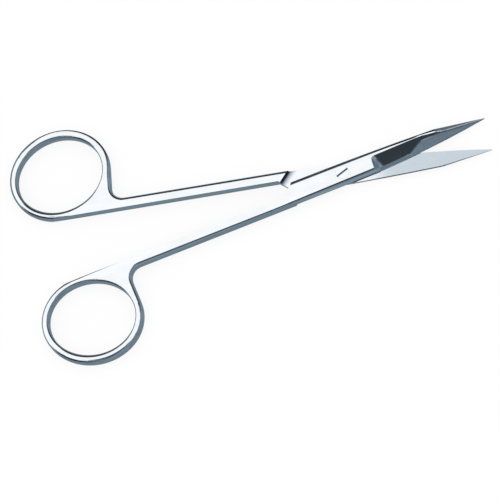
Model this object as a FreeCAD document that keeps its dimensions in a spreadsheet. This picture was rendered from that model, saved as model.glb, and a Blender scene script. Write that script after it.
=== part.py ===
import FreeCAD, Part

import math
import os
import Sketcher

os.makedirs("parts", exist_ok=True)

# Ring-handled tissue scissors with a lapped screw joint, in millimetres.
# Both halves are forged alike. Each is drawn lying on its outer face, with the joint axis
# along Z through the origin, the handle towards -X on the +Y side and the blade towards +X.
# The lower half lies as drawn. The upper half is turned over on top of it.

doc = FreeCAD.newDocument("TissueScissors")
sheet = doc.addObject("Spreadsheet::Sheet", "sizes")


SIZES = {
    # Stock and joint
    "stock_thick": 3.2,  # thickness of the forging at handles and joint
    "ride_gap": 0.06,  # running gap between the two lapped faces
    "open_angle": 12.2,  # angle between the halves as the scissors lie, degrees
    "edge_round": 0.85,  # rounding around the rings and along the shank backs
    "hole_round": 0.6,  # rounding of the finger holes' edges
    "cutter_reach": 8.0,  # how far the cutting outlines reach past the stock
    "overcut": 0.05,  # how far the ground surfaces start outside the stock
    # Finger ring
    "ring_back": 75.55,  # joint axis to the middle of the finger hole, along the shank
    "ring_out": 12.6,  # middle of the finger hole, out from the centre line
    "ring_tilt": 14.5,  # angle of the oval to the shank, degrees
    "hole_long": 23.45,  # length of the finger hole
    "hole_wide": 20.2,  # width of the finger hole
    "band_end": 2.02,  # width of the ring's band at the ends of the oval
    "band_side": 2.15,  # mean width of the ring's band at the sides of the oval
    "band_shift": 0.17,  # how far the outer oval stands further out than the hole
    # Shank
    "inner_at_ring": 0.8,  # flat inner side of the shank from the centre line, at the ring
    "inner_at_joint": 0.62,  # flat inner side of the shank from the centre line, at the joint
    "outer_at_neck": 3.5,  # rounded back of the shank from the centre line, at the ring
    "outer_at_heel": 3.12,  # rounded back of the shank from the centre line, at the blade
    "neck_round": 3.3,  # inside radius between ring and shank
    "neck_lean": 3.0,  # lean of the neck's wall from square to the shank, degrees
    "heel_back": 66.0,  # joint axis to the point where the inner flat runs into the ring
    # Lapped joint
    "slope_back": 17.3,  # joint axis to the start of the slope that leads to the plate
    "slope_end_back": 14.3,  # joint axis to the end of that slope
    "slope_end_side": 1.7,  # end of that slope from the centre line
    "plate_back": 13.6,  # joint axis to the rear corner of the plate
    "step_back": 17.1,  # joint axis to the step, on the centre line
    "step_angle": 50.0,  # angle of the step to the centre line, degrees
    "step_round": 0.5,  # radius at the foot of the step
    # Blade
    "spine_side": 2.86,  # spine of plate and blade from the centre line, at its rear end
    "spine_side_end": 1.56,  # spine from the centre line, at the square end beyond the tip
    "spine_bow": 0.4,  # how far the spine bows out of its chord
    "spine_round": 0.75,  # rounding along the spine
    "heel_front": 8.3,  # joint axis to the shoulder where the grinding starts
    "heel_run": 1.4,  # length of the run-out at that shoulder
    "tip_front": 40.2,  # joint axis to the tip
    "tip_nose": 0.28,  # spine side of the tip's end, from the centre line
    "edge_belly": 0.5,  # how far the cutting edge bows out of its chord
    "belly_at_heel": 0.12,  # share of that bow where the hollow is full
    "belly_at_front": 0.95,  # share of that bow where the hollow ends
    "land_side": 1.42,  # edge of the flat land along the spine from the centre line, at the shoulder
    "land_side_front": 1.66,  # the same edge where the bevel starts to widen
    "land_side_end": 1.84,  # the same edge where the hollow ends
    "land_side_tip": 1.65,  # the same edge just beyond the tip
    "hollow_depth": 0.07,  # depth of the hollow grinding below its chord
    "bevel_wide": 0.8,  # width of the bevel along the cutting edge
    "bevel_high": 0.5,  # height of that bevel
    "face_wide": 2.37,  # width of the tip's face where the bevel has widened into it
    "face_high": 1.15,  # height of the face at that place
    "face_wide_front": 2.17,  # width of the face where the hollow ends
    "face_high_front": 1.1,  # height of the face where the hollow ends
    "face_wide_tip": 1.0,  # width of the face just beyond the tip
    "face_high_tip": 0.7,  # height of the face just beyond the tip
    "edge_thick": 0.07,  # thickness left at the cutting edge
    "hollow_front": 18.5,  # joint axis to the place where the bevel starts to widen
    "hollow_turn": 22.0,  # joint axis to the place where the tip's face starts
    "hollow_end": 29.5,  # joint axis to the end of the hollow grinding
    "facet_front": 26.2,  # joint axis to the start of the tip facet
    "facet_side": 2.25,  # tip facet from the centre line, at its start
    "facet_slope": 20.0,  # slope of the tip's narrow facet to the outer face, degrees
    "ridge_side": 1.05,  # ridge below that facet from the centre line, at its start
    "ridge_deep": 0.23,  # ridge below the outer face, at its start
    "ridge_lead": 2.2,  # ridge from the centre line where the facet has run out
    "ridge_side_tip": 0.15,  # ridge from the centre line, just beyond the tip
    "ridge_rise_tip": 0.05,  # ridge above the cutting edge, just beyond the tip
    "flank_start": 22.0,  # joint axis to the start of the widening flank
    "flank_side": 1.8,  # outer edge of the flat face at the shoulder, from the centre line
    "flank_bulge": 0.34,  # bulge of the flank's section at its start
    "flank_bulge_front": 0.34,  # bulge of that section at the shoulder
    # Pivot screw
    "screw_round": 1.0,  # radius of the screw's shank
    "head_round": 1.75,  # radius of the countersunk head
    "head_deep": 0.75,  # depth of the head's cone
    "pivot_clear": 0.02,  # running clearance around the screw in the upper half
    "thread_clear": 0.015,  # clearance around the screw in the lower half
    "slot_wide": 0.42,  # width of the screwdriver slot
    "slot_deep": 0.45,  # depth of the screwdriver slot
    "slot_angle": 24.0,  # direction of the slot, degrees
}
for row, (alias, number) in enumerate(SIZES.items(), start=1):
    sheet.set("A%d" % row, alias)
    sheet.set("B%d" % row, str(number))
    sheet.setAlias("B%d" % row, alias)
doc.recompute()


def value(expression):
    """Work out an expression in the sheet's sizes."""
    return float(sheet.evalExpression(expression))


def bind(feature, prop, expression):
    """Tie a property of a feature to the sheet."""
    feature.setExpression(prop, expression)


RIDE_HEIGHT = "(sizes.stock_thick - sizes.ride_gap) / 2"


def add_sketch(body, name, role, offset=None):
    """Add a sketch on one of the body's own planes, moved out along its normal."""
    sketch = body.newObject("Sketcher::SketchObject", name)
    plane = [feature for feature in body.Origin.OriginFeatures if feature.Role == role][0]
    sketch.AttachmentSupport = [(plane, "")]
    sketch.MapMode = "FlatFace"
    if offset is not None:
        bind(sketch, "AttachmentOffset.Base.z", offset)
    return sketch


def corner(x, y):
    """Place a corner from two expressions."""
    return FreeCAD.Vector(value(x), value(y), 0)


def fix_point(sketch, curve, end, x, y):
    """Hold one end of a curve at a place given by two expressions."""
    for kind, expression in (("DistanceX", x), ("DistanceY", y)):
        index = sketch.addConstraint(Sketcher.Constraint(kind, curve, end, value(expression)))
        bind(sketch, "Constraints[%d]" % index, expression)


def join(sketch, first, second, kind="Coincident"):
    """Join the end of one curve to the start of the next."""
    sketch.addConstraint(Sketcher.Constraint(kind, first, 2, second, 1))


def line(sketch, start, end):
    """Add a straight line."""
    return sketch.addGeometry(Part.LineSegment(start, end), False)


def outline(sketch, corners, bows=None):
    """Draw a closed outline through corners; a bow bends the side after that corner."""
    bows = bows or {}
    places = [corner(x, y) for x, y in corners]
    sides = []
    for index, start in enumerate(places):
        end = places[(index + 1) % len(places)]
        if index in bows:
            sides.append(add_bow(sketch, start, end, value(bows[index])))
        else:
            sides.append((line(sketch, start, end), (1, 2)))
    for index, (curve, ends) in enumerate(sides):
        following, next_ends = sides[(index + 1) % len(sides)]
        sketch.addConstraint(Sketcher.Constraint("Coincident", curve, ends[1], following, next_ends[0]))
        fix_point(sketch, curve, ends[0], *corners[index])
        if index in bows:
            hold_bow(sketch, curve, corners[index], corners[(index + 1) % len(corners)], bows[index])


def add_bow(sketch, start, end, bow):
    """Add an arc from start to end that bows out to its left, or to its right if negative."""
    chord = end - start
    left = FreeCAD.Vector(-chord.y, chord.x, 0).normalize()
    radius = (chord.Length ** 2 / 4 + bow ** 2) / (2 * abs(bow))
    reach = math.copysign(radius - abs(bow), bow)
    centre = (start + end) / 2 - left * reach
    first, last = (end, start) if bow > 0 else (start, end)
    angles = [math.atan2(place.y - centre.y, place.x - centre.x) for place in (first, last)]
    if angles[1] < angles[0]:
        angles[1] += 2 * math.pi
    circle = Part.Circle(centre, FreeCAD.Vector(0, 0, 1), radius)
    curve = sketch.addGeometry(Part.ArcOfCircle(circle, *angles), False)
    return curve, (2, 1) if bow > 0 else (1, 2)


def hold_bow(sketch, curve, start, end, bow):
    """Hold the radius of an arc by its two ends and its bow."""
    chord = "sqrt((%s - (%s))^2 + (%s - (%s))^2)" % (end[0], start[0], end[1], start[1])
    radius = "((%s)^2 / 4 + (%s)^2) / (2 * abs(%s))" % (chord, bow, bow)
    number = sketch.addConstraint(Sketcher.Constraint("Radius", curve, value(radius)))
    bind(sketch, "Constraints[%d]" % number, radius)


def add_oval(sketch, middle, long_radius, wide_radius, angle, ends=None):
    """Add an oval, or the part of it between two angles, and hold its size and direction."""
    turn = math.radians(value(angle))
    along = FreeCAD.Vector(math.cos(turn), math.sin(turn), 0)
    across = FreeCAD.Vector(-along.y, along.x, 0)
    long_value = value(long_radius)
    wide_value = value(wide_radius)
    shape = Part.Ellipse(middle + along * long_value, middle + across * wide_value, middle)
    if ends is None:
        oval = sketch.addGeometry(shape, False)
    else:
        oval = sketch.addGeometry(Part.ArcOfEllipse(shape, ends[0], ends[1]), False)
    long_axis = line(sketch, middle - along * long_value, middle + along * long_value)
    wide_axis = line(sketch, middle - across * wide_value, middle + across * wide_value)
    for axis, role in ((long_axis, "MajorDiameter"), (wide_axis, "MinorDiameter")):
        sketch.toggleConstruction(axis)
        sketch.addConstraint(Sketcher.Constraint("InternalAlignment:Ellipse" + role, axis, oval))
    held = (
        ("Distance", (long_axis,), "2 * (%s)" % long_radius),
        ("Distance", (wide_axis,), "2 * (%s)" % wide_radius),
        ("Angle", (long_axis,), angle + " * 1deg"),
    )
    for kind, target, expression in held:
        amount = turn if kind == "Angle" else value(expression)
        number = sketch.addConstraint(Sketcher.Constraint(kind, *target, amount))
        bind(sketch, "Constraints[%d]" % number, expression)
    return oval


def hold_middle(sketch, oval, x, y=None):
    """Hold the middle of an oval at an x and, if it is given, a y."""
    for kind, expression in (("DistanceX", x), ("DistanceY", y)):
        if expression is not None:
            number = sketch.addConstraint(Sketcher.Constraint(kind, oval, 3, value(expression)))
            bind(sketch, "Constraints[%d]" % number, expression)


def cut_through(body, name, sketch, length):
    """Cut a sketch's outline out of the body on both sides of its plane."""
    cut = body.newObject("PartDesign::Pocket", name)
    cut.Profile = sketch
    cut.Midplane = True
    bind(cut, "Length", length)
    doc.recompute()
    return cut


def edges_near(shape, places):
    """Name the edges that pass through the given places."""
    names = []
    for place in places:
        vertex = Part.Vertex(place)
        distances = [edge.distToShape(vertex)[0] for edge in shape.Edges]
        nearest = min(range(len(distances)), key=distances.__getitem__)
        names.append("Edge%d" % (nearest + 1))
    return sorted(set(names))


def forge_outline(body):
    """Draw the plan of the forging: ring, shank, plate and blade in one outline."""
    sketch = add_sketch(body, "plan", "XY_Plane")
    long_radius = "sizes.hole_long / 2 + sizes.band_end"
    wide_radius = "sizes.hole_wide / 2 + sizes.band_side"
    long_value = value(long_radius)
    wide_value = value(wide_radius)
    turn = math.radians(value("sizes.ring_tilt"))
    middle = corner("-sizes.ring_back", "sizes.ring_out + sizes.band_shift")

    # The stock's inner side runs from below the heel to a tangent on the oval.
    heel = corner("-sizes.heel_back", "-sizes.edge_round / 2")
    touch = oval_touch(middle, long_value, wide_value, turn, heel)
    # The neck leaves the oval where the oval leans as the neck's wall does.
    lean = math.radians(value("sizes.neck_lean"))
    neck_angle = math.atan2(-wide_value * math.sin(turn + lean), long_value * math.cos(turn + lean))
    neck = oval_point(middle, long_value, wide_value, turn, neck_angle)

    blade_end = "sizes.tip_front + 1"
    places = [
        ("-sizes.plate_back", "-sizes.spine_side"),
        ("-sizes.slope_end_back", "-sizes.slope_end_side"),
        ("-sizes.slope_back", "sizes.inner_at_joint"),
        ("-sizes.heel_back", "sizes.inner_at_ring"),
        ("-sizes.heel_back", "-sizes.edge_round / 2"),
    ]
    corners = [corner(x, y) for x, y in places]
    lines = []
    for index, start in enumerate(corners):
        end = corners[index + 1] if index + 1 < len(corners) else oval_point(
            middle, long_value, wide_value, turn, touch)
        lines.append(line(sketch, start, end))
    for first, second in zip(lines, lines[1:]):
        join(sketch, first, second)
    for curve, (x, y) in zip(lines, places):
        fix_point(sketch, curve, 1, x, y)

    ring = add_oval(sketch, middle, long_radius, wide_radius, "sizes.ring_tilt",
                    (neck_angle, touch + 2 * math.pi))
    hold_middle(sketch, ring, "-sizes.ring_back", "sizes.ring_out + sizes.band_shift")

    # Neck, back of the shank and their inside radius
    heel_out = corner("sizes.heel_front", "sizes.outer_at_heel")
    neck_out = corner("-sizes.ring_back + " + long_radius, "sizes.outer_at_neck")
    back = (heel_out - neck_out).normalize()
    side = FreeCAD.Vector(-back.y, back.x, 0)
    radius = value("sizes.neck_round")
    wall_side = FreeCAD.Vector(math.cos(lean), -math.sin(lean), 0)
    offset = (radius - (neck_out + side * radius - neck).dot(wall_side)) / back.dot(wall_side)
    centre = neck_out + back * offset + side * radius
    wall_end = centre - wall_side * radius
    back_start = neck_out + back * offset
    wall = line(sketch, neck, wall_end)
    bend = sketch.addGeometry(
        Part.ArcOfCircle(Part.Circle(centre, FreeCAD.Vector(0, 0, 1), radius),
                         math.pi - lean, 2 * math.pi + math.atan2(-side.y, -side.x)), False)
    shank_back = line(sketch, back_start, heel_out)
    number = sketch.addConstraint(Sketcher.Constraint("Radius", bend, radius))
    bind(sketch, "Constraints[%d]" % number, "sizes.neck_round")
    number = sketch.addConstraint(Sketcher.Constraint("Angle", wall, -math.pi / 2 - lean))
    bind(sketch, "Constraints[%d]" % number, "-(90 + sizes.neck_lean) * 1deg")
    sketch.addConstraint(Sketcher.Constraint("Tangent", wall, 1, ring, 1))
    join(sketch, wall, bend, "Tangent")
    join(sketch, bend, shank_back, "Tangent")
    sketch.addConstraint(Sketcher.Constraint("Tangent", lines[-1], 2, ring, 2))
    fix_point(sketch, shank_back, 2, "sizes.heel_front", "sizes.outer_at_heel")
    slope = "atan((sizes.outer_at_heel - sizes.outer_at_neck) / (sizes.heel_front + sizes.ring_back"
    slope += " - (%s)))" % long_radius
    number = sketch.addConstraint(
        Sketcher.Constraint("Angle", shank_back, math.atan2(back.y, back.x)))
    bind(sketch, "Constraints[%d]" % number, slope)

    # Cutting edge, square end beyond the tip, and spine
    tip = corner(blade_end, "-sizes.edge_belly / 2")
    edge, (edge_start, edge_end) = add_bow(sketch, heel_out, tip, value("sizes.edge_belly"))
    end_low = corner(blade_end, "-sizes.spine_side_end")
    end_wall = line(sketch, tip, end_low)
    spine, (spine_start, spine_end) = add_bow(sketch, end_low, corners[0], value("sizes.spine_bow"))
    sketch.addConstraint(Sketcher.Constraint("Coincident", shank_back, 2, edge, edge_start))
    sketch.addConstraint(Sketcher.Constraint("Coincident", edge, edge_end, end_wall, 1))
    sketch.addConstraint(Sketcher.Constraint("Coincident", end_wall, 2, spine, spine_start))
    sketch.addConstraint(Sketcher.Constraint("Coincident", spine, spine_end, lines[0], 1))
    heel_place = ("sizes.heel_front", "sizes.outer_at_heel")
    tip_place = (blade_end, "-sizes.edge_belly / 2")
    end_place = (blade_end, "-sizes.spine_side_end")
    fix_point(sketch, edge, edge_end, *tip_place)
    fix_point(sketch, spine, spine_start, *end_place)
    hold_bow(sketch, edge, heel_place, tip_place, "sizes.edge_belly")
    hold_bow(sketch, spine, end_place, places[0], "sizes.spine_bow")
    return sketch


def oval_point(middle, long_radius, wide_radius, turn, angle):
    """Give the point of a turned oval at its own angle."""
    x = long_radius * math.cos(angle)
    y = wide_radius * math.sin(angle)
    return middle + FreeCAD.Vector(
        x * math.cos(turn) - y * math.sin(turn), x * math.sin(turn) + y * math.cos(turn), 0)


def oval_touch(middle, long_radius, wide_radius, turn, place):
    """Give the angle where a line from the place touches the oval's lower side."""
    away = place - middle
    x = (away.x * math.cos(turn) + away.y * math.sin(turn)) / long_radius
    y = (-away.x * math.sin(turn) + away.y * math.cos(turn)) / wide_radius
    return math.atan2(y, x) - math.acos(1 / math.hypot(x, y))


def section(body, name, place, corners, bows):
    """Draw a cross-section of the cutter at a distance along the blade."""
    sketch = add_sketch(body, name, "YZ_Plane", place)
    outline(sketch, corners, bows)
    return sketch


def grind_section(body, name, place, land, edge, depth, hollow, bevel):
    """Draw what the wheel takes off the outer face at one place; the bevel has a width and a height."""
    beyond = "(%s) + sizes.cutter_reach" % edge
    below = "-sizes.cutter_reach"
    surface = "%s * (%s - sizes.edge_thick) - sizes.overcut" % (depth, RIDE_HEIGHT)
    ridge = "%s * (%s - sizes.edge_thick - (%s)) - sizes.overcut" % (depth, RIDE_HEIGHT, bevel[1])
    corners = [
        (land, "-sizes.overcut"),
        ("(%s) - (%s)" % (edge, bevel[0]), ridge),
        (edge, surface),
        (beyond, surface),
        (beyond, below),
        (land, below),
    ]
    return section(body, name, place, corners, {0: hollow})


def add_loft(body, name, sections):
    """Cut a ruled loft through the given sections."""
    cut = body.newObject("PartDesign::SubtractiveLoft", name)
    cut.Profile = sections[0]
    cut.Sections = sections[1:]
    cut.Ruled = True
    doc.recompute()
    return cut


def forge_half(name):
    """Make one half, lying on its outer face."""
    body = doc.addObject("PartDesign::Body", name)
    body.Label = name

    forging = body.newObject("PartDesign::Pad", "forging")
    forging.Profile = forge_outline(body)
    bind(forging, "Length", "sizes.stock_thick")
    doc.recompute()

    hole = add_sketch(body, "finger_hole", "XY_Plane")
    oval = add_oval(hole, corner("-sizes.ring_back", "sizes.ring_out"), "sizes.hole_long / 2",
                    "sizes.hole_wide / 2", "sizes.ring_tilt")
    hold_middle(hole, oval, "-sizes.ring_back", "sizes.ring_out")
    cut_through(body, "finger_ring", hole, "4 * sizes.stock_thick")

    # The lap leaves half the thickness from the step to the tip.
    lap = add_sketch(body, "lap_plan", "XY_Plane", RIDE_HEIGHT)
    run = "sizes.cutter_reach / tan(sizes.step_angle * 1deg)"
    outline(lap, [
        ("-sizes.step_back + " + run, "sizes.cutter_reach"),
        ("-sizes.step_back - " + run, "-sizes.cutter_reach"),
        ("sizes.tip_front + sizes.cutter_reach", "-sizes.cutter_reach"),
        ("sizes.tip_front + sizes.cutter_reach", "sizes.cutter_reach"),
    ])
    lap_cut = body.newObject("PartDesign::Pocket", "lap")
    lap_cut.Profile = lap
    lap_cut.Reversed = True
    bind(lap_cut, "Length", "sizes.stock_thick")
    doc.recompute()
    step_side = "(sizes.inner_at_joint + sizes.outer_at_heel) / 2"
    step_place = corner("-sizes.step_back + %s / tan(sizes.step_angle * 1deg)" % step_side, step_side)
    step_place.z = value(RIDE_HEIGHT)
    foot = body.newObject("PartDesign::Fillet", "step_foot")
    foot.Base = (lap_cut, edges_near(lap_cut.Shape, [step_place]))
    bind(foot, "Radius", "sizes.step_round")
    doc.recompute()

    # The spine is rounded first, so that the grinding can run out into the rounding.
    spine_place = corner("0", "-sizes.spine_side")
    spine_rounding = body.newObject("PartDesign::Fillet", "spine_rounding")
    spine_rounding.Base = (foot, edges_near(foot.Shape, [spine_place]))
    bind(spine_rounding, "Radius", "sizes.spine_round")
    doc.recompute()

    # Hollow grinding with a run-out at the shoulder. The bevel along the cutting edge widens
    # towards the front, until it is the tip's face.
    tip_edge = "-sizes.edge_belly / 2"
    full_start = "sizes.heel_front + sizes.heel_run"
    edge_at = "(sizes.outer_at_heel + (%s) * (%s - sizes.outer_at_heel) / (sizes.tip_front + 1"
    edge_at += " - sizes.heel_front) + %s)"
    start_edge = edge_at % ("sizes.heel_run", tip_edge, "sizes.edge_belly * sizes.belly_at_heel")
    front_edge, turn_edge, end_edge = [
        edge_at % ("%s - sizes.heel_front" % place, tip_edge, "sizes.edge_belly * sizes.belly_at_front")
        for place in ("sizes.hollow_front", "sizes.hollow_turn", "sizes.hollow_end")]
    land = "-sizes.land_side"
    land_turn = "-(sizes.land_side_front + sizes.land_side_end) / 2"
    hollow = "sizes.hollow_depth"
    shallow = "sizes.hollow_depth / 8"
    bevel = ("sizes.bevel_wide", "sizes.bevel_high")
    face = ("sizes.face_wide", "sizes.face_high")
    front_face = ("sizes.face_wide_front", "sizes.face_high_front")
    tip_face = ("sizes.face_wide_tip", "sizes.face_high_tip")
    half_run = "sizes.heel_front + sizes.heel_run * 0.4"
    grinding = add_loft(body, "hollow_grinding", [
        grind_section(body, "grind_start", "sizes.heel_front", land, start_edge, "0", shallow, bevel),
        grind_section(body, "grind_run", half_run, land, start_edge, "0.65", shallow, bevel),
        grind_section(body, "grind_full", full_start, land, start_edge, "1", hollow, bevel),
        grind_section(body, "grind_front", "sizes.hollow_front", "-sizes.land_side_front",
                      front_edge, "1", hollow, bevel),
        grind_section(body, "grind_turn", "sizes.hollow_turn", land_turn,
                      turn_edge, "1", shallow, face),
        grind_section(body, "grind_end", "sizes.hollow_end", "-sizes.land_side_end",
                      end_edge, "1", shallow, front_face),
        grind_section(body, "grind_tip", "sizes.tip_front + 2", "-sizes.land_side_tip",
                      tip_edge, "1", shallow, tip_face),
    ])

    # Ring, shank back and finger hole are rounded on both faces.
    back_side = value("(sizes.outer_at_neck + sizes.outer_at_heel) / 2")
    ring_end = corner("-sizes.ring_back - sizes.hole_long / 2 - sizes.band_end", "sizes.ring_out")
    hole_end = corner("-sizes.ring_back - sizes.hole_long / 2", "sizes.ring_out")
    shank_middle = FreeCAD.Vector(-value("sizes.heel_back") / 2, back_side, 0)
    other_face = FreeCAD.Vector(0, 0, value("sizes.stock_thick"))
    base = grinding
    for label, places, radius in (("rounding", (shank_middle, ring_end), "sizes.edge_round"),
                                  ("hole_rounding", (hole_end,), "sizes.hole_round")):
        both_faces = [place + height for place in places for height in (FreeCAD.Vector(), other_face)]
        rounding = body.newObject("PartDesign::Fillet", label)
        rounding.Base = (base, edges_near(base.Shape, both_faces))
        bind(rounding, "Radius", radius)
        doc.recompute()
        base = rounding

    # The flat inner side of the shank runs out over the rounded ring.
    side = add_sketch(body, "inner_side_plan", "XY_Plane")
    slope = "(sizes.inner_at_ring - sizes.inner_at_joint) / (sizes.heel_back - sizes.slope_back)"
    outline(side, [
        ("-sizes.heel_back - sizes.hole_long", "sizes.inner_at_ring + sizes.hole_long * " + slope),
        ("-sizes.heel_back - sizes.hole_long", "-sizes.cutter_reach"),
        ("-sizes.heel_back + 1", "-sizes.cutter_reach"),
        ("-sizes.heel_back + 1", "sizes.inner_at_ring - " + slope),
    ])
    cut_through(body, "inner_side", side, "4 * sizes.stock_thick")

    # The rounded back widens into a broad flank towards the shoulder.
    shank_side = "(sizes.outer_at_heel + sizes.outer_at_neck) / 2"
    flank_foot = RIDE_HEIGHT + " - sizes.edge_thick"
    flank_sections = []
    for label, place, top, foot, bow in (
            ("flank_start", "-sizes.flank_start", shank_side + " - sizes.edge_round",
             shank_side + " + 0.3", "-sizes.flank_bulge"),
            ("flank_end", full_start, "sizes.flank_side - sizes.overcut",
             "sizes.outer_at_heel", "-sizes.flank_bulge_front")):
        flank_sections.append(section(body, label, place, [
            (top, "-sizes.overcut"),
            (foot, flank_foot),
            (foot + " + sizes.cutter_reach", flank_foot),
            (foot + " + sizes.cutter_reach", "-sizes.cutter_reach"),
            (top, "-sizes.cutter_reach"),
        ], {0: bow}))
    add_loft(body, "flank", flank_sections)

    # The tip is ground narrower from the spine side, with a sloping facet above.
    tip_plan = add_sketch(body, "tip_plan", "XY_Plane")
    outline(tip_plan, [
        ("sizes.facet_front", "-sizes.facet_side"),
        ("sizes.facet_front - 2", "-sizes.facet_side - 2"),
        ("sizes.tip_front + sizes.cutter_reach", "-sizes.facet_side - 2"),
        ("sizes.tip_front + sizes.cutter_reach", "sizes.cutter_reach"),
        ("sizes.tip_front", "sizes.cutter_reach"),
        ("sizes.tip_front", "-sizes.tip_nose"),
    ])
    cut_through(body, "tip_side", tip_plan, "4 * sizes.stock_thick")
    fall = "tan(sizes.facet_slope * 1deg)"
    facet_sections = []
    for label, place, ridge, depth in (
            ("facet_start", "sizes.facet_front - 1", "-sizes.ridge_lead", "-sizes.ridge_deep"),
            ("facet_full", "sizes.facet_front + 1", "-sizes.ridge_side", "sizes.ridge_deep"),
            ("facet_end", "sizes.tip_front + 1", "-sizes.ridge_side_tip",
             RIDE_HEIGHT + " - sizes.edge_thick - sizes.ridge_rise_tip")):
        facet_sections.append(section(body, label, place, [
            ("%s + 1" % ridge, "%s - %s" % (depth, fall)),
            ("%s - sizes.spine_side" % ridge, "%s + sizes.spine_side * %s" % (depth, fall)),
            ("%s - sizes.spine_side" % ridge, "-sizes.cutter_reach"),
            ("%s + 1" % ridge, "-sizes.cutter_reach"),
        ], {}))
    add_loft(body, "tip_facet", facet_sections)
    return body


def bore_pivot(body, name, corners):
    """Turn a hole around the joint axis."""
    sketch = add_sketch(body, name + "_section", "XZ_Plane")
    outline(sketch, corners)
    bore = body.newObject("PartDesign::Groove", name)
    bore.Profile = sketch
    bore.ReferenceAxis = (sketch, ["V_Axis"])
    bore.Angle = 360
    doc.recompute()


def make_screw():
    """Turn the pivot screw and cut its slot; it stands as it is fitted, head up."""
    body = doc.addObject("PartDesign::Body", "pivot_screw")
    body.Label = "pivot_screw"
    sketch = add_sketch(body, "screw_section", "XZ_Plane")
    outline(sketch, [
        ("0", "0"),
        ("sizes.screw_round", "0"),
        ("sizes.screw_round", "sizes.stock_thick - sizes.head_deep"),
        ("sizes.head_round", "sizes.stock_thick"),
        ("0", "sizes.stock_thick"),
    ])
    turned = body.newObject("PartDesign::Revolution", "turned_screw")
    turned.Profile = sketch
    turned.ReferenceAxis = (sketch, ["V_Axis"])
    turned.Angle = 360
    doc.recompute()
    slot = add_sketch(body, "slot_plan", "XY_Plane", "sizes.stock_thick")
    outline(slot, [
        ("-sizes.head_round - 1", "-sizes.slot_wide / 2"),
        ("sizes.head_round + 1", "-sizes.slot_wide / 2"),
        ("sizes.head_round + 1", "sizes.slot_wide / 2"),
        ("-sizes.head_round - 1", "sizes.slot_wide / 2"),
    ])
    cut = body.newObject("PartDesign::Pocket", "slot")
    cut.Profile = slot
    bind(cut, "Length", "sizes.slot_deep")
    doc.recompute()
    return body


up = FreeCAD.Vector(0, 0, 1)

lower_half = forge_half("lower_half")
bore_pivot(lower_half, "thread_hole", [
    ("0", "-1"),
    ("sizes.screw_round + sizes.thread_clear", "-1"),
    ("sizes.screw_round + sizes.thread_clear", "sizes.stock_thick"),
    ("0", "sizes.stock_thick"),
])
lower_half.Placement = FreeCAD.Placement(
    FreeCAD.Vector(), FreeCAD.Rotation(up, -value("sizes.open_angle") / 2))

upper_half = forge_half("upper_half")
cone = "(sizes.head_round - sizes.screw_round) / sizes.head_deep"
bore_pivot(upper_half, "countersunk_hole", [
    ("0", "-1"),
    ("sizes.head_round + sizes.pivot_clear + " + cone, "-1"),
    ("sizes.screw_round + sizes.pivot_clear", "sizes.head_deep"),
    ("sizes.screw_round + sizes.pivot_clear", "sizes.stock_thick"),
    ("0", "sizes.stock_thick"),
])
turned_over = FreeCAD.Rotation(FreeCAD.Vector(1, 0, 0), 180)
upper_half.Placement = FreeCAD.Placement(
    up * value("sizes.stock_thick"),
    FreeCAD.Rotation(up, value("sizes.open_angle") / 2) * turned_over)

pivot_screw = make_screw()
pivot_screw.Placement = FreeCAD.Placement(
    FreeCAD.Vector(), FreeCAD.Rotation(up, value("sizes.slot_angle")))

doc.recompute()
for item in doc.Objects:
    if "Invalid" in item.State or "Error" in item.State:
        raise RuntimeError("%s could not be built" % item.Label)
pieces = (lower_half, upper_half, pivot_screw)
for piece in pieces:
    if piece.Shape.isNull() or not piece.Shape.isValid() or len(piece.Shape.Solids) != 1:
        raise RuntimeError("%s is not one valid solid" % piece.Label)
for piece in pieces:
    piece.Shape.exportStep("parts/%s.step" % piece.Label)
    print(piece.Label, round(piece.Shape.Volume, 2))
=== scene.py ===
import math

import bpy
from mathutils import Matrix, Vector


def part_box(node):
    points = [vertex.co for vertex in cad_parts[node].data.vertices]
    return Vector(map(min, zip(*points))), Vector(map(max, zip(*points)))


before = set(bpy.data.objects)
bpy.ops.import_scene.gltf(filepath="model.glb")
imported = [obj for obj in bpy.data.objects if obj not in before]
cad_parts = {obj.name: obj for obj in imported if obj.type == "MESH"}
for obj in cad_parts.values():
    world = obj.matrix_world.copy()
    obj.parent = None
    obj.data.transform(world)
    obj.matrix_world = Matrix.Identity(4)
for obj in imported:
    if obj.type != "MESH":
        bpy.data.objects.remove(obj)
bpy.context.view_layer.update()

bl_info = {
    "name": "Tissue scissors finish",
    "version": (1, 0, 0),
    "blender": (4, 5, 0),
    "location": "View3D > Sidebar > Scissors",
    "description": "Polished and ground steel for a pair of tissue scissors, and a pale studio",
    "category": "Object",
}

MM = 0.001

# Each half is described on its own centre line: along it from the joint axis to the tip, and
# across it to the side of its ring and cutting edge. The halves are mirror images of each
# other, and this sign tells them apart.
LOWER = 1
UPPER = -1

# The finger hole, in millimetres: its middle behind and beside the joint axis, its half axes,
# the radius that turns hole widths into millimetres at its rim, and the tilt of its long axis.
HOLE_BACK, HOLE_OUT = 75.55, 12.6
HOLE_HALF_LONG, HOLE_HALF_WIDE = 11.725, 10.1
HOLE_RADIUS = 10.6
HOLE_TILT = math.radians(14.5)

# Where one finish or painted tone runs into the next, in millimetres along the half. Here and
# below, two places with two more numbers hold the values at those places as well.
NECK = (-61.0, -64.0)
RIDE_START = (4.0, 14.0)
LAND_START = (20.5, 22.5)
LAND_NARROWS = (21.0, 26.2)
FACET_START = (26.2, 26.8)
FACET_WIDENS = (26.2, 29.5)
POINT_START = (29.0, 30.5)
RIDGE_SHADE_FADES = (33.0, 37.0, 1.0, 0.4)
HONING_START = (20.0, 24.0)
HONING_END = (34.0, 37.0)
SHOULDER_EDGE = 0.1
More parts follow.
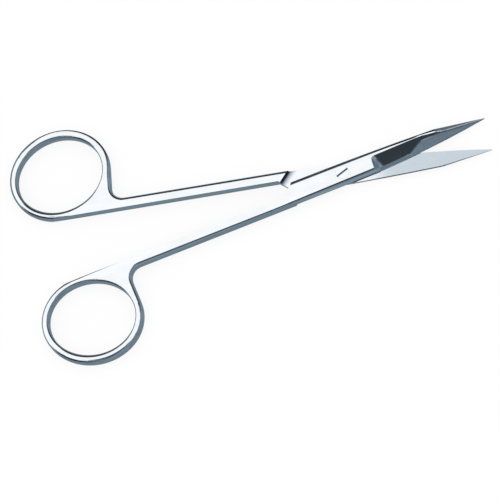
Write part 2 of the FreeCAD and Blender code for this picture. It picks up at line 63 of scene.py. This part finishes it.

# Lines and bands across the half, in millimetres. The bevel and the honed edge are measured
# from the cutting edge, the facet, the land and the line of painted shade from the ridge. The
# ridge starts further out, and comes in where the land narrows and where the facet widens.
SPINE = -2.86
INNER_SIDE = 0.82
EDGE_AT_SHOULDER, EDGE_TAPER, EDGE_BULGE = 3.12, 3.37, 2.0
BEVEL_BACK = (-0.95, -0.75)
HONED_BACK = (-0.3, -0.15)
RIDGE_MIDDLE, RIDGE_SLOPE = -0.72, 0.045
RIDGE_OUT_BY_LAND, RIDGE_OUT_BY_FACET = 0.3, 0.5
FACET_BAND = (-0.1, 0.1)
LAND_BAND = (0.05, 0.17)
RIDGE_SHADE_MIDDLE = 0.34
RIDGE_SHADE_BAND = (0.08, 0.22)

# The tip's face starts on a slant across the blade, and so does the hollow behind it.
TIP_FACE_SLANT = 1.85
TIP_FACE_START = (21.2, 22.3)
TIP_FACE_BACK = (-0.66, -0.46)
HOLLOW_SLANT = 0.4
HOLLOW_FROM_SHOULDER = (0.8, 2.2)

# How much a face looks up: flat faces, and side walls up to where they round over.
FLAT_FACE = (0.985, 0.998)
SIDE_WALL = (0.5, 0.8)

# How far from the middle of the stock the faces that slide may lie, in millimetres.
MIDDLE_BAND = (0.12, 0.25)

# Painted shade in the cove at the foot of the lower half's step: its turn, its span and its
# heights.
COVE_TURN = math.radians(40)
COVE_FOOT, COVE_END = (-13.4, -13.2), (-12.9, -11.2)
COVE_LOW, COVE_HIGH = (1.2, 1.5), (2.8, 3.05)

# How much of their colour the thin honed edge takes, and how much painted shade the cove takes.
HONED_SHARE, COVE_SHADE_SHARE = 0.5, 0.92

# Softened edges, in millimetres: how far each reaches in and how round it is, and where it
# runs at the rim of the finger hole and at the inner side of the shank beside the ring.
RIM_REACH, RIM_ROUND = 0.95, 0.4
RIM_SLANT, RIM_SIDE, RIM_FRONT = 0.7, (-9.0, 9.0), (4.0, 11.0)
SPINE_REACH, SPINE_ROUND = 1.15, 0.4
INNER_REACH, INNER_ROUND = 0.3, 0.8
INNER_START, INNER_END = (-83.0, -79.0), (-50.0, -45.0)
INNER_LEAN = (-78.0, -58.0, -0.08, 0.3)

# Worn and keen roundings of the lower half: the outside of its ring in hole widths, bands
# from the middle of the hole, and the back of the shank, in millimetres.
RING_OUTSIDE = (1.06, 1.09)
WORN_ALONG, WORN_ACROSS = (-8.0, 4.0), (-2.0, 4.0)
KEEN_RING, RING_KEENNESS = (-9.0, -4.0), 0.4
KEEN_SHANK = (1.6, 2.2)

# The same on the upper half: the land, worn less towards the tip, and the spine of the plate.
WORN_LAND = (26.0, 29.0, 8.0, 0.7)
KEEN_PLATE, PLATE_END = (-1.6, -1.9), (9.0, 11.0)
KEENNESS = 0.25

# Grain of the steel: how it is drawn out, its scale per millimetre and its detail.
WASH = ((1.0, 3.0, 3.0), 0.14, 3.0)
DRAWN = ((1.0, 14.0, 22.0), 0.09, 2.0)
GRINDING = ((60.0, 2.0, 2.0), 0.09, 2.0)
BRUSHING = ((3.0, 80.0, 80.0), 0.06, 3.0)
SCREW_WASH = ((1.0, 1.0, 1.0), 0.9, 3.0)
GRAIN_DEPTH = 0.0016
WASH_SHADE = (0.3, 0.7, 0.96, 1.02)
WASH_ROUGHNESS = 0.05
DRAWN_SHADE = (0.35, 0.65, 0.86, 1.1)
SCREW_WASH_ROUGHNESS = 0.06

# The screw's slot, in millimetres, which gets painted shade.
SLOT_TURN = math.radians(24)
SLOT_EDGE = (0.24, 0.34)
SLOT_TOP = (2.9, 3.1)


class Signal:
    """One socket of a node, for arithmetic in plain expressions."""

    def __init__(self, recipe, socket):
        self.recipe = recipe
        self.socket = socket

    def __add__(self, other):
        return self.recipe.math("ADD", self, other)

    def __radd__(self, other):
        return self.recipe.math("ADD", other, self)

    def __sub__(self, other):
        return self.recipe.math("SUBTRACT", self, other)

    def __rsub__(self, other):
        return self.recipe.math("SUBTRACT", other, self)

    def __mul__(self, other):
        return self.recipe.math("MULTIPLY", self, other)

    def __rmul__(self, other):
        return self.recipe.math("MULTIPLY", other, self)

    def __truediv__(self, other):
        return self.recipe.math("DIVIDE", self, other)

    def __abs__(self):
        return self.recipe.math("ABSOLUTE", self)


class Recipe:
    """Builds one node tree, for a material or the world."""

    def __init__(self, owner):
        owner.use_nodes = True
        self.tree = owner.node_tree
        self.tree.nodes.clear()

    def node(self, kind, settings=None, sockets=None):
        """Add a node: its settings come first, then the values or links of its sockets."""
        node = self.tree.nodes.new(kind)
        for name, setting in (settings or {}).items():
            setattr(node, name, setting)
        named = sockets.items() if isinstance(sockets, dict) else enumerate(sockets or ())
        for name, value in named:
            if isinstance(value, Signal):
                value = value.socket
            if isinstance(value, bpy.types.NodeSocket):
                self.tree.links.new(value, node.inputs[name])
            else:
                node.inputs[name].default_value = value
        return node

    def signal(self, kind, settings=None, sockets=None, output=0):
        """Add a node and hand back one of its outputs."""
        return Signal(self, self.node(kind, settings, sockets).outputs[output])

    def math(self, operation, *values):
        """Work out one number."""
        return self.signal("ShaderNodeMath", {"operation": operation}, values)

    def vector(self, operation, *values, output="Vector"):
        """Work out one vector, or one number where the output is Value."""
        settings = {"operation": operation}
        return self.signal("ShaderNodeVectorMath", settings, values, output)

    def ramp(self, value, low, high, start=0.0, end=1.0):
        """Ease a value from start to end while it goes from low to high."""
        settings = {"interpolation_type": "SMOOTHSTEP"}
        sockets = {"Value": value, "From Min": low, "From Max": high,
                   "To Min": start, "To Max": end}
        return self.signal("ShaderNodeMapRange", settings, sockets, "Result")

    def fade(self, value, low, high):
        """Ease a value from 1 to 0 while it goes from low to high."""
        return self.ramp(value, low, high, 1.0, 0.0)

    def mix(self, amount, first, second, blend="MIX"):
        """Mix two colours."""
        settings = {"data_type": "RGBA", "blend_type": blend}
        return self.signal("ShaderNodeMix", settings, {"Factor": amount, 6: first, 7: second}, 2)

    def most(self, *masks):
        """Join masks, so that the strongest one counts."""
        joined = masks[0]
        for mask in masks[1:]:
            joined = self.math("MAXIMUM", joined, mask)
        return joined

    def join(self, *parts):
        """Join three values to a vector."""
        return self.signal("ShaderNodeCombineXYZ", None, parts)

    def split(self, vector):
        """Split a vector into three values."""
        parts = self.node("ShaderNodeSeparateXYZ", None, [vector])
        return [Signal(self, output) for output in parts.outputs]

    def noise(self, place, stretch, scale, detail):
        """Add noise that is drawn out along its own axes."""
        place = self.vector("MULTIPLY", place, stretch)
        sockets = {"Vector": place, "Scale": scale, "Detail": detail}
        return self.signal("ShaderNodeTexNoise", None, sockets, "Fac")

    def softened(self, inside, reach, roundness):
        """Depth of a softened edge, from the distance inside the edge."""
        part = self.math("MAXIMUM", reach - inside, 0.0)
        return part * part * roundness

    def metal(self, colour, roughness, **sockets):
        """Finish the tree as bare metal."""
        sockets |= {"Base Color": colour, "Roughness": roughness, "Metallic": 1.0}
        surface = self.node("ShaderNodeBsdfPrincipled", None, sockets)
        self.node("ShaderNodeOutputMaterial", None, {"Surface": surface.outputs[0]})


# The hollow, run-out and facet tints are painted reflections, the ridge shade, cove and slot
# tints painted shade, and the land tint a painted highlight.
class SteelFinishAndPaintedLight(bpy.types.PropertyGroup):
    polish_tint: bpy.props.FloatVectorProperty(
        name="Polish", description="Colour of the mirror-polished steel",
        subtype="COLOR", default=(0.74, 0.755, 0.77), min=0, max=1)
    ride_tint: bpy.props.FloatVectorProperty(
        name="Ride face", description="Colour of the flat faces that slide on each other",
        subtype="COLOR", default=(0.5, 0.552, 0.595), min=0, max=1)
    ground_tint: bpy.props.FloatVectorProperty(
        name="Ground steel", description="Colour of the ground bevel and tip",
        subtype="COLOR", default=(0.74, 0.8, 0.86), min=0, max=1)
    # Painted reflection: the hollow-ground face is tinted dark, standing in for a dark
    # reflection.
    hollow_reflection_tint: bpy.props.FloatVectorProperty(
        name="Hollow", description="Colour of the hollow-ground face",
        subtype="COLOR", default=(0.3, 0.31, 0.32), min=0, max=1)
    # Painted reflection: where the grinding starts the steel is tinted slate, standing in for a
    # slate reflection.
    run_out_reflection_tint: bpy.props.FloatVectorProperty(
        name="Run-out", description="Colour where the grinding starts",
        subtype="COLOR", default=(0.46, 0.53, 0.6), min=0, max=1)
    # Painted reflection: the ground facet along the tip is tinted slate, standing in for a slate
    # reflection.
    facet_reflection_tint: bpy.props.FloatVectorProperty(
        name="Tip facet", description="Colour of the facet along the tip",
        subtype="COLOR", default=(0.5, 0.58, 0.67), min=0, max=1)
    # Painted shade: a dark line beside the ridge's painted highlight along the tip.
    ridge_shade_tint: bpy.props.FloatVectorProperty(
        name="Ridge shade", description="Colour of the line beside the tip's ridge",
        subtype="COLOR", default=(0.42, 0.48, 0.54), min=0, max=1)
    # Painted highlight: the land and the tip's ridge are tinted near white, standing in for a
    # highlight.
    land_highlight_tint: bpy.props.FloatVectorProperty(
        name="Land", description="Colour of the land and the tip's ridge",
        subtype="COLOR", default=(0.98, 0.98, 0.98), min=0, max=1)
    honed_tint: bpy.props.FloatVectorProperty(
        name="Honed edge", description="Colour of the honed edge of the tip",
        subtype="COLOR", default=(0.35, 0.4, 0.44), min=0, max=1)
    # Painted shade: the cove at the foot of the step is tinted dark, standing in for shade in the
    # corner.
    cove_shade_tint: bpy.props.FloatVectorProperty(
        name="Cove", description="Colour of the cove at the foot of the step",
        subtype="COLOR", default=(0.13, 0.18, 0.225), min=0, max=1)
    # Painted shade: the screw's slot and its sides below the top face are tinted dark.
    slot_shade_tint: bpy.props.FloatVectorProperty(
        name="Slot", description="Colour of the screw's slot",
        subtype="COLOR", default=(0.3, 0.32, 0.34), min=0, max=1)
    polish_roughness: bpy.props.FloatProperty(
        name="Polish roughness", description="Roughness of the polished steel",
        default=0.1, min=0, max=1)
    ride_roughness: bpy.props.FloatProperty(
        name="Ride face roughness", description="Roughness of the flat sliding faces",
        default=0.22, min=0, max=1)
    ground_roughness: bpy.props.FloatProperty(
        name="Ground roughness", description="Roughness of the ground bevel and tip",
        default=0.28, min=0, max=1)
    ring_wear: bpy.props.FloatProperty(
        name="Ring wear", description="How much the back of the lower half's ring is worn flat",
        default=4.0, min=0)
    half_angle: bpy.props.FloatProperty(
        name="Half angle", description="Angle of each half to the middle line at rest",
        default=math.radians(6.1), subtype="ANGLE")
    shoulder: bpy.props.FloatProperty(
        name="Shoulder", description="Joint axis to the shoulder where the grinding starts",
        default=8.3 * MM, unit="LENGTH")
    edge_end: bpy.props.FloatProperty(
        name="Edge end", description="Joint axis to the end of the edge's curve, past the tip",
        default=41.2 * MM, unit="LENGTH")


class StudioSetup(bpy.types.PropertyGroup):
    azimuth: bpy.props.FloatProperty(
        name="Azimuth", description="Turn of the camera around the vertical, from the -Y side",
        default=math.radians(19.748), subtype="ANGLE")
    elevation: bpy.props.FloatProperty(
        name="Elevation", description="Height of the camera above the surface",
        default=math.radians(70), subtype="ANGLE")
    roll: bpy.props.FloatProperty(
        name="Roll", description="Turn of the camera around its own axis",
        default=math.radians(-34.056), subtype="ANGLE")
    target: bpy.props.FloatVectorProperty(
        name="Target", description="Point in the middle of the view", subtype="TRANSLATION",
        default=(-28.6 * MM, -14.05 * MM, 3.2 * MM))
    distance: bpy.props.FloatProperty(
        name="Distance", description="Camera to the target", default=2377.4 * MM, unit="LENGTH")
    lens: bpy.props.FloatProperty(
        name="Lens", description="Focal length in millimetres", default=648.0, min=1)
    softbox: bpy.props.FloatProperty(
        name="Softbox", description="Brightness of the overhead softbox as the steel shows it",
        default=1.285, min=0)
    shadow: bpy.props.FloatProperty(
        name="Shadow", description="How much of the floor's own shading shows", default=0.16,
        min=0, max=1)


class Half:
    """Sockets that say where a point lies on one half, in millimetres."""

    def __init__(self, recipe, side, angle):
        self.recipe = recipe
        self.side = side
        place = recipe.signal("ShaderNodeTexCoord", output="Object")
        x, y, self.height = (part / MM for part in recipe.split(place))
        self.along = x * math.cos(angle) - y * (side * math.sin(angle))
        self.across = x * math.sin(angle) + y * (side * math.cos(angle))
        self.place = recipe.join(self.along, self.across, self.height)

        facing = recipe.signal("ShaderNodeTexCoord", output="Normal")
        self.facing_up = abs(recipe.split(facing)[2])
        self.flat = recipe.ramp(self.facing_up, *FLAT_FACE)
        low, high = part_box("upper_half")
        from_middle = abs(self.height - (low.z + high.z) / 2 / MM)
        self.ride = self.flat * recipe.fade(from_middle, *MIDDLE_BAND)
        self.ride = self.ride * recipe.ramp(self.along, *RIDE_START)

        # The finger ring, by its distance from the middle of the hole in hole widths.
        self.ring_along = self.along + HOLE_BACK
        self.ring_across = self.across - HOLE_OUT
        tilt_cos, tilt_sin = math.cos(HOLE_TILT), math.sin(HOLE_TILT)
        long_part = (self.ring_along * tilt_cos + self.ring_across * tilt_sin) / HOLE_HALF_LONG
        wide_part = (self.ring_across * tilt_cos - self.ring_along * tilt_sin) / HOLE_HALF_WIDE
        self.hole_widths = recipe.math("SQRT", long_part * long_part + wide_part * wide_part)
        self.ring = recipe.ramp(self.along, *NECK)


class Blade:
    """Masks of the ground faces of one blade, some of which carry painted reflections, a painted
    highlight or painted shade.
    """

    def __init__(self, half, shoulder, edge_end):
        recipe, along, across = half.recipe, half.along, half.across
        blade = recipe.ramp(along, shoulder - SHOULDER_EDGE, shoulder + SHOULDER_EDGE)
        blade = blade * (1.0 - half.flat)

        # The bevel along the cutting edge, and the tip's face that it widens into.
        way = (along - shoulder) / (edge_end - shoulder)
        edge = EDGE_AT_SHOULDER - EDGE_TAPER * way + EDGE_BULGE * way * (1.0 - way)
        from_edge = across - edge
        bevel = recipe.ramp(from_edge, *BEVEL_BACK)
        face = recipe.ramp(along + across * TIP_FACE_SLANT, *TIP_FACE_START)
        face = face * recipe.ramp(across, *TIP_FACE_BACK)
        point = recipe.ramp(along, *POINT_START)

        # The land runs on as the ridge of the tip, with a facet between it and the spine.
        ridge = RIDGE_SLOPE * (along - FACET_WIDENS[1]) + RIDGE_MIDDLE
        ridge = ridge - recipe.fade(along, *FACET_WIDENS) * RIDGE_OUT_BY_FACET
        ridge = ridge - recipe.fade(along, *LAND_NARROWS) * RIDGE_OUT_BY_LAND
        above = across - ridge
        front = recipe.ramp(along, *FACET_START)
        facet = front * recipe.fade(above, *FACET_BAND)
        land = recipe.ramp(along, *LAND_START) * recipe.fade(abs(above), *LAND_BAND)
        # Painted shade: a dark line just beside the ridge.
        ridge_shade = front * recipe.fade(abs(above - RIDGE_SHADE_MIDDLE), *RIDGE_SHADE_BAND)
        honed = recipe.ramp(from_edge, *HONED_BACK) * recipe.ramp(along, *HONING_START)

        self.ground = recipe.most(bevel, face, point, facet) * blade
        polished = blade * (1.0 - self.ground)
        behind = along - across * HOLLOW_SLANT - shoulder
        started = recipe.ramp(behind, *HOLLOW_FROM_SHOULDER)
        # The hollow takes a painted dark reflection.
        self.hollow = polished * started
        # Where the grinding starts the tint is a painted slate reflection; its roughness is the
        # ground steel's own.
        self.run_out = polished * (1.0 - started)
        # The facet is a real ground face; its tint is a painted slate reflection.
        self.facet = blade * facet
        self.ridge_shade = blade * ridge_shade * recipe.ramp(along, *RIDGE_SHADE_FADES)
        # The land is a real face; its tint is a painted highlight, its roughness and wear its
        # own.
        self.land = blade * land
        self.honed = blade * honed * recipe.fade(along, *HONING_END)


def cove(half):
    """Mask of the painted shade in the cove at the foot of the lower half's step."""
    recipe = half.recipe
    slant = half.along * math.cos(COVE_TURN) - half.across * math.sin(COVE_TURN)
    plan = recipe.ramp(slant, *COVE_FOOT) * recipe.fade(slant, *COVE_END)
    return plan * recipe.ramp(half.height, *COVE_LOW) * recipe.fade(half.height, *COVE_HIGH)


def steel_colour(half, blade, wash, finish):
    """Tint of the steel, face by face, with painted reflections, highlight and shade, and the
    streaks of the drawn side walls.
    """
    recipe = half.recipe
    # Painted light in the layers: the hollow, run-out and facet take painted reflections, the
    # line beside the ridge and the cove painted shade, the land a painted highlight.
    layers = [
        (blade.ground, finish.ground_tint),
        (blade.hollow, finish.hollow_reflection_tint),
        (blade.run_out, finish.run_out_reflection_tint),
        (blade.facet, finish.facet_reflection_tint),
        (blade.ridge_shade, finish.ridge_shade_tint),
        (blade.land, finish.land_highlight_tint),
        (blade.honed * HONED_SHARE, finish.honed_tint),
        (half.ride, finish.ride_tint),
    ]
    # The cove at the foot of the step is darkened with painted shade.
    if half.side == LOWER:
        layers.append((cove(half) * COVE_SHADE_SHARE, finish.cove_shade_tint))
    colour = (*finish.polish_tint, 1)
    for mask, layer in layers:
        colour = recipe.mix(mask, colour, (*layer, 1))
    drawn = recipe.noise(half.place, *DRAWN)
    streak = recipe.ramp(drawn, *DRAWN_SHADE)
    shade = recipe.ramp(wash, *WASH_SHADE)
    shade = shade * (1.0 + recipe.fade(half.facing_up, *SIDE_WALL) * (streak - 1.0))
    grey = recipe.signal("ShaderNodeCombineColor", None, [shade] * 3)
    return recipe.mix(1.0, colour, grey, "MULTIPLY")


def steel_roughness(half, blade, wash, finish):
    """Roughness of the steel, face by face."""
    polish = finish.polish_roughness
    rough = polish + blade.ground * (finish.ground_roughness - polish)
    for mask, rougher in ((blade.run_out, 0.25), (blade.facet, 0.2), (blade.land, 0.1)):
        rough = rough + mask * rougher
    rough = rough + half.ride * (finish.ride_roughness - polish)
    return rough + (wash - 0.5) * WASH_ROUGHNESS


def surface_height(half, blade):
    """Relief of the steel in millimetres: brushing, grinding lines and softened edges."""
    recipe, along, across = half.recipe, half.along, half.across
    lines = recipe.noise(half.place, *GRINDING)
    brushed = recipe.noise(half.place, *BRUSHING)
    height = (brushed * (1.0 - blade.ground) + lines * blade.ground) * GRAIN_DEPTH

    rim = recipe.softened((half.hole_widths - 1.0) * HOLE_RADIUS, RIM_REACH, RIM_ROUND)
    rim = rim * recipe.fade(half.ring_across * half.side - half.ring_along * RIM_SLANT, *RIM_SIDE)
    height = height - rim * recipe.fade(half.ring_along, *RIM_FRONT)
    if half.side == UPPER:
        spine = recipe.softened(across - SPINE, SPINE_REACH, SPINE_ROUND)
        height = height - spine * (1.0 - half.ring)
        inside = across - INNER_SIDE + recipe.ramp(along, *INNER_LEAN)
        inner = recipe.softened(inside, INNER_REACH, INNER_ROUND)
        inner = inner * recipe.ramp(along, *INNER_START) * recipe.fade(along, *INNER_END)
        height = height - inner
    return height


def steel_normal(half, blade, finish):
    """Normal of the steel's surface: a worn rounding is flatter, a keen one steeper."""
    recipe, along, across = half.recipe, half.along, half.across
    if half.side == LOWER:
        worn = recipe.ramp(half.ring_along, *WORN_ALONG)
        worn = worn * recipe.ramp(half.ring_across, *WORN_ACROSS) * finish.ring_wear
        worn = worn - recipe.ramp(half.ring_across, *KEEN_RING) * RING_KEENNESS
        worn = worn * half.ring * recipe.ramp(half.hole_widths, *RING_OUTSIDE)
        keen = (1.0 - half.ring) * recipe.ramp(across, *KEEN_SHANK)
    else:
        worn = blade.land * recipe.ramp(along, *WORN_LAND)
        keen = recipe.ramp(across, *KEEN_PLATE) * recipe.fade(along, *PLATE_END)
    scale = recipe.join(1.0, 1.0, 1.0 + worn - keen * KEENNESS)
    normal = recipe.signal("ShaderNodeNewGeometry", output="Normal")
    normal = recipe.vector("NORMALIZE", recipe.vector("MULTIPLY", normal, scale))
    return recipe.signal("ShaderNodeBump", None, {
        "Strength": 1.0, "Distance": MM, "Height": surface_height(half, blade), "Normal": normal})


def steel(name, side):
    """Polished forged steel with ground blade faces, for one half."""
    finish = bpy.context.scene.steel_finish
    material = bpy.data.materials.new(name)
    recipe = Recipe(material)
    half = Half(recipe, side, finish.half_angle)
    blade = Blade(half, finish.shoulder / MM, finish.edge_end / MM)
    wash = recipe.noise(half.place, *WASH)
    recipe.metal(steel_colour(half, blade, wash, finish),
                 steel_roughness(half, blade, wash, finish),
                 Normal=steel_normal(half, blade, finish))
    return material


class SCISSORS_OT_halves(bpy.types.Operator):
    """Polish and grind both halves"""
    bl_idname = "scissors.halves"
    bl_label = "Finish the halves"

    def execute(self, context):
        for node, side in (("lower_half", LOWER), ("upper_half", UPPER)):
            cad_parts[node].material_slots[0].material = steel(node + "_steel", side)
        return {"FINISHED"}


def screw_steel(name):
    """Polished steel with painted shade in the slot and below the top face, for the screw."""
    finish = bpy.context.scene.steel_finish
    material = bpy.data.materials.new(name)
    recipe = Recipe(material)
    place = recipe.signal("ShaderNodeTexCoord", output="Object")
    x, y, z = (part / MM for part in recipe.split(place))
    from_slot = abs(y * math.cos(SLOT_TURN) - x * math.sin(SLOT_TURN))
    # The top face keeps the polish; the slot and all below the top face get painted shade.
    top = recipe.ramp(z, *SLOT_TOP) * recipe.ramp(from_slot, *SLOT_EDGE)
    wash = recipe.noise(recipe.join(x, y, z), *SCREW_WASH)
    colour = recipe.mix(top, (*finish.slot_shade_tint, 1), (*finish.polish_tint, 1))
    recipe.metal(colour, finish.polish_roughness + (wash - 0.5) * SCREW_WASH_ROUGHNESS)
    return material


class SCISSORS_OT_screw(bpy.types.Operator):
    """Finish the pivot screw"""
    bl_idname = "scissors.screw"
    bl_label = "Finish the screw"

    def execute(self, context):
        material = screw_steel("screw_steel_finish")
        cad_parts["pivot_screw"].material_slots[0].material = material
        return {"FINISHED"}


def unit_vector(azimuth, elevation):
    """Direction at an azimuth from +X and an elevation, in radians."""
    return Vector((math.cos(azimuth) * math.cos(elevation),
                   math.sin(azimuth) * math.cos(elevation), math.sin(elevation)))


def card(recipe, direction, azimuth, elevation, inner, outer):
    """Mask of a round card in the studio, by its middle and its radii in degrees."""
    middle = unit_vector(math.radians(azimuth), math.radians(elevation))
    near = recipe.vector("DOT_PRODUCT", direction, middle, output="Value")
    return recipe.ramp(near, math.cos(math.radians(outer)), math.cos(math.radians(inner)))


def light_world(studio):
    """Surround the scissors with a studio that only polished steel shows."""
    world = bpy.data.worlds.new("studio")
    bpy.context.scene.world = world
    recipe = Recipe(world)
    direction = recipe.signal("ShaderNodeTexCoord", output="Generated")
    height = recipe.split(direction)[2]
    white = (studio.softbox * 0.985, studio.softbox, studio.softbox * 1.01, 1)
    slate = (0.19, 0.262, 0.318, 1)
    under = (0.2, 0.27, 0.32, 1)
    room = recipe.mix(recipe.ramp(height, -1.0, -0.75), under, slate)
    # Each card has its azimuth, elevation, inner and outer radius in degrees, and its colour.
    for azimuth, elevation, inner, outer, colour in (
            (5, 0, 20, 40, (0.24, 0.33, 0.395, 1)),
            (-75, 5, 10, 28, (0.27, 0.36, 0.42, 1)),
            (40, 34, 14, 26, (0.09, 0.12, 0.145, 1)),
            (97, 0, 16, 34, (0.07, 0.09, 0.11, 1)),
            (75, 36, 27, 36, (0.02, 0.03, 0.04, 1)),
            (165, 50, 36, 41, white),
            (110, 85, 18, 21, white),
            (-143, 35, 20, 32, (0.015, 0.022, 0.03, 1)),
            (-106, 79, 12, 15, (0.09, 0.12, 0.145, 1)),
            (-91, 52, 7, 10, (0.035, 0.05, 0.06, 1))):
        room = recipe.mix(card(recipe, direction, azimuth, elevation, inner, outer), room, colour)

    path = recipe.node("ShaderNodeLightPath")
    plain = recipe.node("ShaderNodeBackground", None, {"Color": (1, 1, 1, 1), "Strength": 0.97})
    shown = recipe.node("ShaderNodeBackground", None, {"Color": room, "Strength": 1.0})
    both = recipe.node("ShaderNodeMixShader", None, [
        path.outputs["Is Glossy Ray"], plain.outputs[0], shown.outputs[0]])
    recipe.node("ShaderNodeOutputWorld", None, {"Surface": both.outputs[0]})


def pale_floor(studio):
    """Lay a white floor that keeps a faint shadow."""
    bpy.ops.mesh.primitive_plane_add(size=4, location=(0, 0, -0.02 * MM))
    floor = bpy.context.object
    floor.name = "floor"
    material = bpy.data.materials.new("pale_floor")
    recipe = Recipe(material)
    seen = recipe.signal("ShaderNodeLightPath", output="Is Camera Ray")
    matt = recipe.node("ShaderNodeBsdfDiffuse", None, {"Color": (0.96, 0.96, 0.96, 1)})
    white = recipe.node("ShaderNodeEmission", None, {"Color": (1, 1, 1, 1), "Strength": 1.02})
    both = recipe.node("ShaderNodeMixShader", None, [
        seen * (1 - studio.shadow), matt.outputs[0], white.outputs[0]])
    recipe.node("ShaderNodeOutputMaterial", None, {"Surface": both.outputs[0]})
    floor.data.materials.append(material)
    floor.visible_glossy = False


def place_camera(studio):
    """Stand the camera where the photograph was taken from."""
    back = unit_vector(studio.azimuth - math.pi / 2, studio.elevation)
    right = unit_vector(studio.azimuth, 0)
    up = back.cross(right)
    roll_cos, roll_sin = math.cos(studio.roll), math.sin(studio.roll)
    axes = (right * roll_cos + up * roll_sin, up * roll_cos - right * roll_sin, back)
    place = Vector(studio.target) + back * studio.distance
    camera_data = bpy.data.cameras.new("camera")
    camera_data.sensor_width = 36
    camera_data.lens = studio.lens
    camera_data.clip_start = 0.1
    camera_data.clip_end = 20
    camera = bpy.data.objects.new("camera", camera_data)
    bpy.context.collection.objects.link(camera)
    camera.matrix_world = Matrix.Translation(place) @ Matrix(axes).transposed().to_4x4()
    bpy.context.scene.camera = camera


class SCISSORS_OT_studio(bpy.types.Operator):
    """Set up the pale floor, the soft light and the camera"""
    bl_idname = "scissors.studio"
    bl_label = "Set up the studio"

    def execute(self, context):
        studio = context.scene.studio_setup
        light_world(studio)
        pale_floor(studio)
        place_camera(studio)
        context.scene.view_settings.view_transform = "Standard"
        return {"FINISHED"}


class SCISSORS_PT_panel(bpy.types.Panel):
    """Sizes and colours of the scissors' finish and painted light, and its steps"""
    bl_label = "Scissors"
    bl_idname = "SCISSORS_PT_panel"
    bl_space_type = "VIEW_3D"
    bl_region_type = "UI"
    bl_category = "Scissors"

    def draw(self, context):
        for settings in (context.scene.steel_finish, context.scene.studio_setup):
            for name in settings.__annotations__:
                self.layout.prop(settings, name)
        for operator in OPERATORS:
            self.layout.operator(operator.bl_idname)


OPERATORS = (SCISSORS_OT_halves, SCISSORS_OT_screw, SCISSORS_OT_studio)
CLASSES = (SteelFinishAndPaintedLight, StudioSetup, *OPERATORS, SCISSORS_PT_panel)


def register():
    """Add the classes, and the settings to the scene."""
    for cls in CLASSES:
        bpy.utils.register_class(cls)
    bpy.types.Scene.steel_finish = bpy.props.PointerProperty(type=SteelFinishAndPaintedLight)
    bpy.types.Scene.studio_setup = bpy.props.PointerProperty(type=StudioSetup)


def unregister():
    """Take the settings and the classes away again."""
    del bpy.types.Scene.steel_finish
    del bpy.types.Scene.studio_setup
    for cls in reversed(CLASSES):
        bpy.utils.unregister_class(cls)


def main():
    """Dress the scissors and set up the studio."""
    register()
    bpy.ops.scissors.halves()
    bpy.ops.scissors.screw()
    bpy.ops.scissors.studio()


if __name__ == "__main__":
    main()
